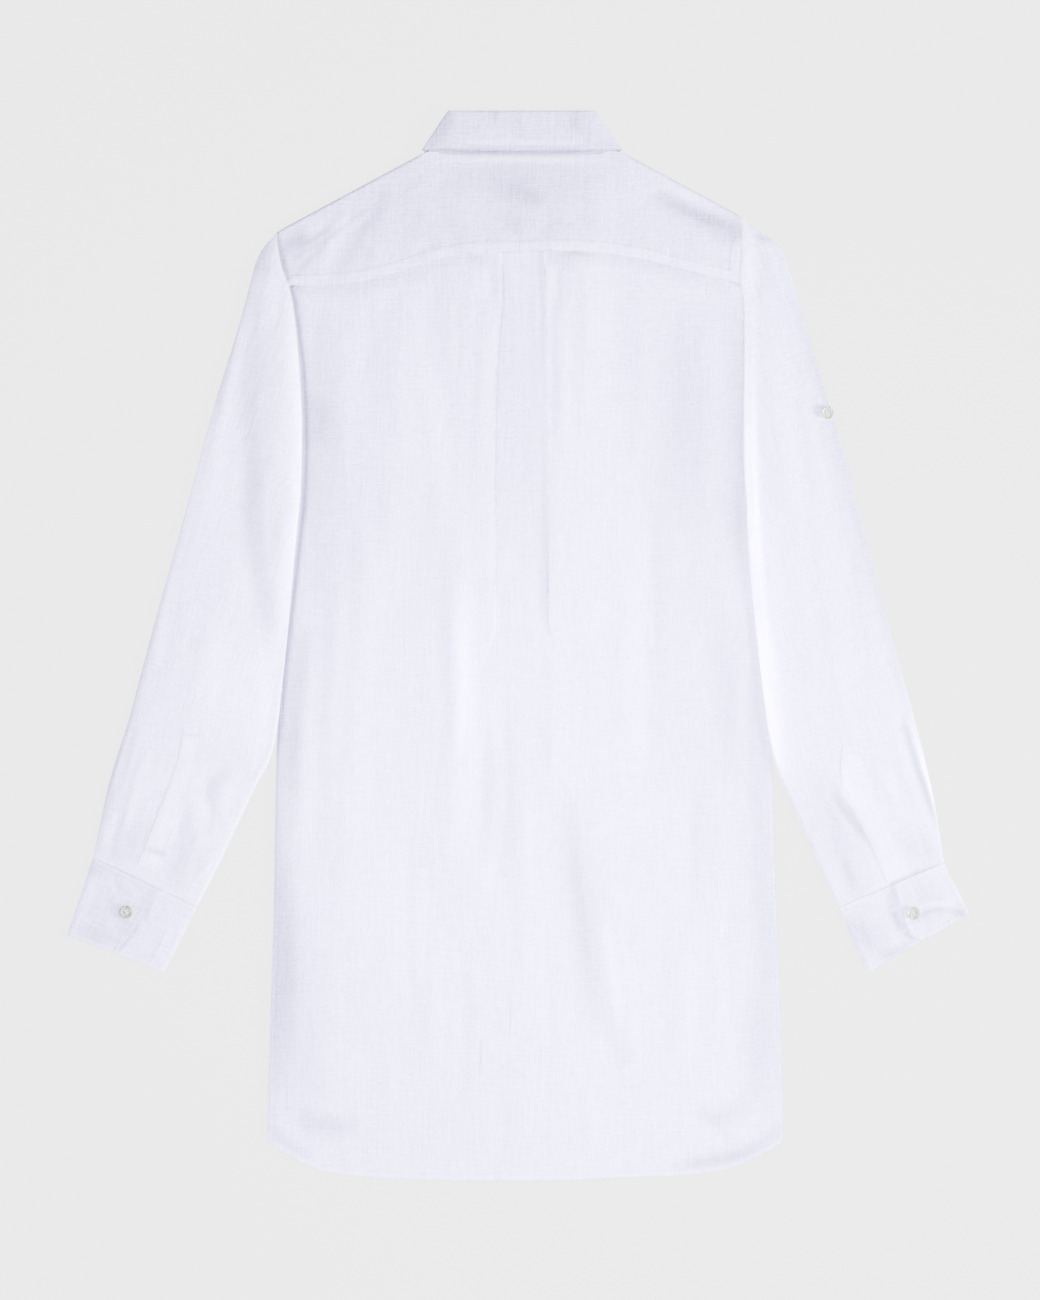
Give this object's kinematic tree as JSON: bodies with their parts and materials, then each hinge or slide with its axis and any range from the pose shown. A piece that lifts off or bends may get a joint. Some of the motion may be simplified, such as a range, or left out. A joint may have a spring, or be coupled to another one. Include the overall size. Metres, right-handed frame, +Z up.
{
  "type": "linen shirt dress",
  "caption": "Long-sleeved linen shirt dress laid flat on its front: folded collar, curved yoke, back pleat, button cuffs and a rounded hem.",
  "frame": {"origin": "on the surface, below the middle of the garment's box", "axes": "+Z up from the surface towards the garment's back, +Y towards the collar, +X towards the wearer's right sleeve"},
  "size_m": [0.7766, 0.92, 0.0108],
  "materials": {
    "linen": "white plain-weave linen, matt, slightly slubbed",
    "shell": "pearly shell button"
  },
  "bodies": {
    "root": {"back_panel": "linen", "yoke": "linen", "front_left": "linen", "front_right": "linen", "sleeve_left": "linen", "sleeve_right": "linen", "sleeve_placket_left": "linen", "sleeve_placket_right": "linen", "cuff_left": "linen", "cuff_right": "linen", "collar_leaf": "linen", "collar_stand": "linen", "cuff_button_left": "shell", "cuff_button_right": "shell", "tab_button_right": "shell", "front_button_1": "shell", "front_button_2": "shell", "front_button_3": "shell", "front_button_4": "shell", "front_button_5": "shell", "front_button_6": "shell", "front_button_7": "shell", "front_button_8": "shell"}
  },
  "joints": []
}
